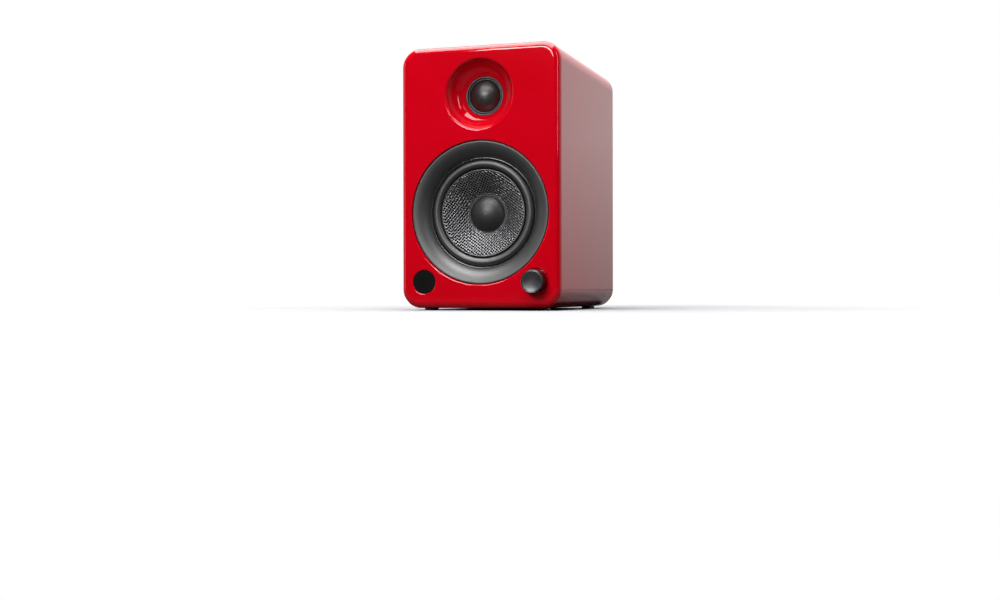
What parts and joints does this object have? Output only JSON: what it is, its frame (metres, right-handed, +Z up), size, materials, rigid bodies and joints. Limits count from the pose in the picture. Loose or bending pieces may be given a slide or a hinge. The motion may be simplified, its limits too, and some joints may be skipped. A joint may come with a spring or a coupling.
{
  "type": "bookshelf speaker",
  "caption": "Powered two-way bookshelf speaker in red gloss: woven-cone woofer, dome tweeter in a dish, turned volume knob, rear bass port and amplifier plate.",
  "frame": {"origin": "on the floor under the middle of the overall box", "axes": "+Z up, -Y to the front face, +X to the right of someone who looks at the front"},
  "size_m": [0.14, 0.2206, 0.222],
  "materials": {
    "red_lacquer": "red high-gloss lacquer over fibreboard",
    "black_panel": "fibreboard under fine black texture paint",
    "black_plastic": "moulded satin black plastic",
    "window_plastic": "dark plastic that passes infrared",
    "red_plastic": "moulded red plastic",
    "white_plastic": "moulded plastic, one white and one red",
    "knob_metal": "turned aluminium, dark satin anodised",
    "cone_weave": "woven fibre cone, dark with light threads",
    "cap_black": "pressed dust cap, matt black",
    "roll_rubber": "moulded rubber half roll",
    "dome_fabric": "coated soft-dome fabric",
    "spider_cloth": "resin-dipped corrugated cloth",
    "foam": "open-cell foam",
    "frame_steel": "pressed steel, black paint",
    "plate_metal": "aluminium sheet, fine black powder coat",
    "zinc_steel": "zinc-plated steel",
    "black_screw": "black oxide steel",
    "ferrite": "sintered ferrite",
    "bare_aluminium": "plain aluminium",
    "copper": "enamelled copper wire",
    "gold_plate": "gold-plated brass",
    "board": "glass-epoxy circuit board",
    "wire_cover": "flexible wire cover",
    "plunger_plastic": "natural acetal"
  },
  "bodies": {
    "root": {"amp_board": "board", "amp_chip": "black_plastic", "amp_plate": "plate_metal", "amp_standoffs": "zinc_steel", "aux_jack": "black_plastic", "bass_port": "black_plastic", "cabinet_wrap": "red_lacquer", "control_boards": "board", "damping_foam": "foam", "encoder_body": "black_plastic", "encoder_nut": "zinc_steel", "foam_gaskets": "foam", "front_baffle": "red_lacquer", "heat_sink": "bare_aluminium", "inlet_pins": "gold_plate", "mains_inlet": "black_plastic", "pan_screws": "black_screw", "post_insulators": "black_plastic", "post_studs": "gold_plate", "power_switch_housing": "black_plastic", "rca_block": "black_plastic", "rca_inserts": "white_plastic", "rca_shells": "gold_plate", "rear_panel": "black_panel", "receiver_module": "window_plastic", "receiver_window": "window_plastic", "reservoir_capacitors": "bare_aluminium", "rubber_feet": "roll_rubber", "speaker_wires": "wire_cover", "transformer_core": "ferrite", "transformer_winding": "black_plastic", "tweeter_faceplate": "black_plastic", "tweeter_magnet": "ferrite", "tweeter_surround": "dome_fabric", "tweeter_top_plate": "zinc_steel", "tweeter_yoke": "zinc_steel", "woofer_basket": "frame_steel", "woofer_magnet": "ferrite", "woofer_screws": "black_screw", "woofer_spider": "spider_cloth", "woofer_surround": "roll_rubber", "woofer_tag_strip": "board", "woofer_top_plate": "zinc_steel", "woofer_trim_ring": "black_plastic", "woofer_yoke": "zinc_steel"},
    "woofer_cone_assembly": {"woofer_cone": "cone_weave", "woofer_dust_cap": "cap_black", "woofer_former": "bare_aluminium", "woofer_voice_coil": "copper"},
    "tweeter_dome_assembly": {"tweeter_dome": "dome_fabric", "tweeter_former": "bare_aluminium", "tweeter_voice_coil": "copper"},
    "encoder_push": {"encoder_plunger": "plunger_plastic"},
    "volume_knob": {"volume_knob": "knob_metal", "encoder_shaft": "zinc_steel"},
    "power_rocker": {"power_rocker": "black_plastic"},
    "clamp_black": {"clamp_washer_black": "gold_plate"},
    "thumb_nut_black": {"thumb_nut_black": "black_plastic"},
    "clamp_red": {"clamp_washer_red": "gold_plate"},
    "thumb_nut_red": {"thumb_nut_red": "red_plastic"}
  },
  "joints": [
    {"name": "woofer_stroke", "type": "slide", "parent": "root", "child": "woofer_cone_assembly", "axis": [0, -1, 0], "range_m": [-0.004, 0.004], "stiffness_N_per_m": 1000, "deforming": ["woofer_surround", "woofer_spider"]},
    {"name": "tweeter_stroke", "type": "slide", "parent": "root", "child": "tweeter_dome_assembly", "axis": [0, -1, 0], "range_m": [-0.0004, 0.0004], "stiffness_N_per_m": 2000, "deforming": ["tweeter_surround"]},
    {"name": "volume_push", "type": "slide", "parent": "root", "child": "encoder_push", "axis": [0, 1, 0], "range_m": [0, 0.0005], "stiffness_N_per_m": 4000},
    {"name": "volume_turn", "type": "hinge", "parent": "encoder_push", "child": "volume_knob", "pos_m": [0.0493, -0.09875, 0.024], "axis": [0, 1, 0], "continuous": true},
    {"name": "power_rock", "type": "hinge", "parent": "root", "child": "power_rocker", "pos_m": [0.012, 0.08975, 0.045], "axis": [1, 0, 0], "range_deg": [0, 22]},
    {"name": "clamp_black_lift", "type": "slide", "parent": "root", "child": "clamp_black", "axis": [0, 1, 0], "range_m": [0, 0.0021]},
    {"name": "thumb_nut_black_turn", "type": "hinge", "parent": "clamp_black", "child": "thumb_nut_black", "pos_m": [0.0145, 0.10125, 0.08], "axis": [0, 1, 0], "range_deg": [0, 1080]},
    {"name": "clamp_red_lift", "type": "slide", "parent": "root", "child": "clamp_red", "axis": [0, 1, 0], "range_m": [0, 0.0021]},
    {"name": "thumb_nut_red_turn", "type": "hinge", "parent": "clamp_red", "child": "thumb_nut_red", "pos_m": [0.0335, 0.10125, 0.08], "axis": [0, 1, 0], "range_deg": [0, 1080]}
  ],
  "couplings": [
    {"joint": "thumb_nut_black_turn", "follows": "clamp_black_lift", "rad_per_m": 8976},
    {"joint": "thumb_nut_red_turn", "follows": "clamp_red_lift", "rad_per_m": 8976}
  ]
}
